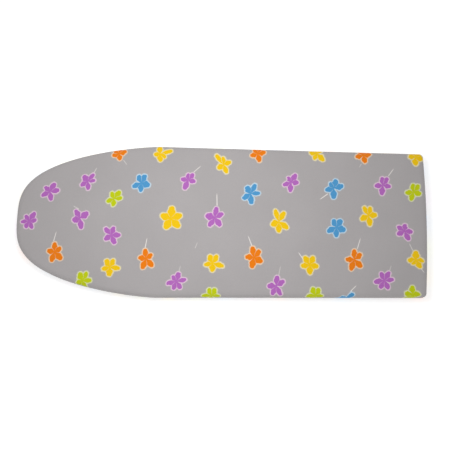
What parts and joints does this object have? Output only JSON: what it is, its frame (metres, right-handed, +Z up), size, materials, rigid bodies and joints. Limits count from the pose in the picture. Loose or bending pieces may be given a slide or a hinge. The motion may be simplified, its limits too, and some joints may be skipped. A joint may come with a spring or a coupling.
{
  "type": "tabletop ironing board",
  "caption": "Compact tabletop ironing board with a rounded nose, padded printed cotton cover and folding braced wire-stay leg frames.",
  "frame": {"origin": "centre of the board's footprint, on the plane its folded feet rest on", "axes": "+X along the board towards its square end, nose towards -X; +Z up out of the ironing surface; +Y to the left when looking from the nose"},
  "size_m": [0.813, 0.305, 0.0334],
  "materials": {
    "grey_cotton": "plain woven cotton with a scattered flower print",
    "white_felt": "soft felt",
    "grey_elastic": "gathered elastic edge",
    "painted_deck_steel": "satin powder coat",
    "painted_rim_steel": "satin powder coat",
    "zinc_bracket": "zinc plated",
    "powder_coated_tube": "satin powder coat",
    "bright_wire": "bright plated wire",
    "steel_rivet": "bright",
    "white_nylon": "moulded",
    "dark_rubber": "matt",
    "grey_plastic": "moulded"
  },
  "bodies": {
    "board": {"cover": "grey_cotton", "pad": "white_felt", "cover_elastic": "grey_elastic", "deck_panel": "painted_deck_steel", "rim_band": "painted_rim_steel", "cross_rib_front": "painted_deck_steel", "stay_guide_front": "zinc_bracket", "leg_clip_front": "grey_plastic", "pivot_bracket_front_left": "zinc_bracket", "pivot_rivet_front_left": "steel_rivet", "pivot_washer_front_left": "white_nylon", "pivot_bracket_front_right": "zinc_bracket", "pivot_rivet_front_right": "steel_rivet", "pivot_washer_front_right": "white_nylon", "cross_rib_rear": "painted_deck_steel", "stay_guide_rear": "zinc_bracket", "leg_clip_rear": "grey_plastic", "pivot_bracket_rear_left": "zinc_bracket", "pivot_rivet_rear_left": "steel_rivet", "pivot_washer_rear_left": "white_nylon", "pivot_bracket_rear_right": "zinc_bracket", "pivot_rivet_rear_right": "steel_rivet", "pivot_washer_rear_right": "white_nylon"},
    "leg_front": {"leg_tube_front": "powder_coated_tube", "tube_plug_front_left": "grey_plastic", "tube_plug_front_right": "grey_plastic", "foot_sleeve_front_left": "dark_rubber", "foot_sleeve_front_right": "dark_rubber"},
    "stay_front": {"wire_stay_front": "bright_wire"},
    "leg_rear": {"leg_tube_rear": "powder_coated_tube", "tube_plug_rear_left": "grey_plastic", "tube_plug_rear_right": "grey_plastic", "foot_sleeve_rear_left": "dark_rubber", "foot_sleeve_rear_right": "dark_rubber"},
    "stay_rear": {"wire_stay_rear": "bright_wire"}
  },
  "joints": [
    {"name": "leg_fold_front", "type": "hinge", "parent": "board", "child": "leg_front", "pos_m": [-0.15, 0, 0.011], "axis": [0, -1, 0], "range_deg": [0, 72]},
    {"name": "stay_swing_front", "type": "hinge", "parent": "leg_front", "child": "stay_front", "pos_m": [-0.225, 0, 0.011], "axis": [0, -1, 0], "range_deg": [-144, 0]},
    {"name": "leg_fold_rear", "type": "hinge", "parent": "board", "child": "leg_rear", "pos_m": [0.15, 0, 0.011], "axis": [0, 1, 0], "range_deg": [0, 72]},
    {"name": "stay_swing_rear", "type": "hinge", "parent": "leg_rear", "child": "stay_rear", "pos_m": [0.225, 0, 0.011], "axis": [0, 1, 0], "range_deg": [-144, 0]}
  ],
  "couplings": [
    {"joint": "stay_swing_front", "follows": "leg_fold_front", "ratio": -2},
    {"joint": "stay_swing_rear", "follows": "leg_fold_rear", "ratio": -2}
  ]
}
